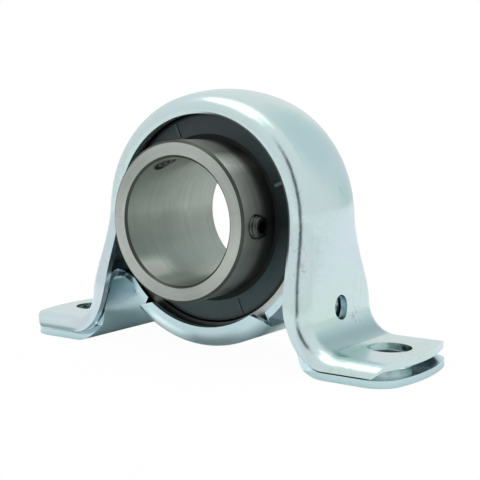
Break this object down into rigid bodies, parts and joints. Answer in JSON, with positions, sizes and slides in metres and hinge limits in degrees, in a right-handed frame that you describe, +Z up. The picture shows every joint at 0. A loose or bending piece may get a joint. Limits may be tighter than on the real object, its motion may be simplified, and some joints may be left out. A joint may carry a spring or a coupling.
{
  "type": "pillow block bearing",
  "caption": "Pressed-steel pillow block: a two-part foot-mounted shell clamps a swivelling sealed ball bearing whose inner ring is locked to a shaft by set screws.",
  "frame": {"origin": "on the base plane, midway between the two foot bolt holes, straight under the bearing centre", "axes": "+X along the feet, +Y along the shaft towards the rear (the set-screw end faces -Y), +Z up from the base plane"},
  "size_m": [0.1158, 0.0409, 0.0682],
  "materials": {
    "zinc_shell": "zinc-plated pressed steel, pale bluish grey, satin",
    "ring_steel": "ground bearing steel, fine circumferential marks",
    "screw_black": "black-oxide steel",
    "shield_coat": "dark blue-grey coated sheet, satin",
    "seal_rubber": "matt black nitrile rubber",
    "cage_steel": "pressed mild steel, satin",
    "ball_steel": "polished bearing steel"
  },
  "bodies": {
    "housing": {"upper_shell": "zinc_shell", "lower_shell": "zinc_shell"},
    "insert": {"outer_ring": "ring_steel", "front_shield": "shield_coat", "rear_shield": "shield_coat", "front_lip": "seal_rubber", "rear_lip": "seal_rubber"},
    "inner": {"inner_ring": "ring_steel"},
    "screw_1": {"set_screw_1": "screw_black"},
    "screw_2": {"set_screw_2": "screw_black"},
    "cage": {"cage_front": "cage_steel", "cage_rear": "cage_steel", "rivet_1": "cage_steel", "rivet_2": "cage_steel", "rivet_3": "cage_steel", "rivet_4": "cage_steel", "rivet_5": "cage_steel", "rivet_6": "cage_steel", "rivet_7": "cage_steel", "rivet_8": "cage_steel", "rivet_9": "cage_steel"},
    "ball_1": {"ball_1": "ball_steel"},
    "ball_2": {"ball_2": "ball_steel"},
    "ball_3": {"ball_3": "ball_steel"},
    "ball_4": {"ball_4": "ball_steel"},
    "ball_5": {"ball_5": "ball_steel"},
    "ball_6": {"ball_6": "ball_steel"},
    "ball_7": {"ball_7": "ball_steel"},
    "ball_8": {"ball_8": "ball_steel"},
    "ball_9": {"ball_9": "ball_steel"}
  },
  "joints": [
    {"name": "insert_swivel", "type": "hinge", "parent": "housing", "child": "insert", "pos_m": [0, 0, 0.0353], "axis": [1, 0, 0], "range_deg": [-2.5, 2.5]},
    {"name": "ring_spin", "type": "hinge", "parent": "insert", "child": "inner", "pos_m": [0, 0, 0.0353], "axis": [0, 1, 0], "continuous": true},
    {"name": "cage_spin", "type": "hinge", "parent": "insert", "child": "cage", "pos_m": [0, 0, 0.0353], "axis": [0, 1, 0], "continuous": true},
    {"name": "screw_1_travel", "type": "slide", "parent": "inner", "child": "screw_1", "axis": [0.9998, 0, -0.0175], "range_m": [-0.001, 0.003]},
    {"name": "screw_2_travel", "type": "slide", "parent": "inner", "child": "screw_2", "axis": [-0.4848, 0, 0.8746], "range_m": [-0.001, 0.003]},
    {"name": "ball_1_spin", "type": "hinge", "parent": "cage", "child": "ball_1", "pos_m": [0.023, 0, 0.0353], "axis": [0, 1, 0], "continuous": true},
    {"name": "ball_2_spin", "type": "hinge", "parent": "cage", "child": "ball_2", "pos_m": [0.01762, 0, 0.02052], "axis": [0, 1, 0], "continuous": true},
    {"name": "ball_3_spin", "type": "hinge", "parent": "cage", "child": "ball_3", "pos_m": [0.00399, 0, 0.01265], "axis": [0, 1, 0], "continuous": true},
    {"name": "ball_4_spin", "type": "hinge", "parent": "cage", "child": "ball_4", "pos_m": [-0.0115, 0, 0.01538], "axis": [0, 1, 0], "continuous": true},
    {"name": "ball_5_spin", "type": "hinge", "parent": "cage", "child": "ball_5", "pos_m": [-0.02161, 0, 0.02743], "axis": [0, 1, 0], "continuous": true},
    {"name": "ball_6_spin", "type": "hinge", "parent": "cage", "child": "ball_6", "pos_m": [-0.02161, 0, 0.04317], "axis": [0, 1, 0], "continuous": true},
    {"name": "ball_7_spin", "type": "hinge", "parent": "cage", "child": "ball_7", "pos_m": [-0.0115, 0, 0.05522], "axis": [0, 1, 0], "continuous": true},
    {"name": "ball_8_spin", "type": "hinge", "parent": "cage", "child": "ball_8", "pos_m": [0.00399, 0, 0.05795], "axis": [0, 1, 0], "continuous": true},
    {"name": "ball_9_spin", "type": "hinge", "parent": "cage", "child": "ball_9", "pos_m": [0.01762, 0, 0.05008], "axis": [0, 1, 0], "continuous": true}
  ],
  "couplings": [
    {"joint": "cage_spin", "follows": "ring_spin", "ratio": 0.39647},
    {"joint": "ball_1_spin", "follows": "ring_spin", "ratio": -2.3112},
    {"joint": "ball_2_spin", "follows": "ring_spin", "ratio": -2.3112},
    {"joint": "ball_3_spin", "follows": "ring_spin", "ratio": -2.3112},
    {"joint": "ball_4_spin", "follows": "ring_spin", "ratio": -2.3112},
    {"joint": "ball_5_spin", "follows": "ring_spin", "ratio": -2.3112},
    {"joint": "ball_6_spin", "follows": "ring_spin", "ratio": -2.3112},
    {"joint": "ball_7_spin", "follows": "ring_spin", "ratio": -2.3112},
    {"joint": "ball_8_spin", "follows": "ring_spin", "ratio": -2.3112},
    {"joint": "ball_9_spin", "follows": "ring_spin", "ratio": -2.3112}
  ]
}
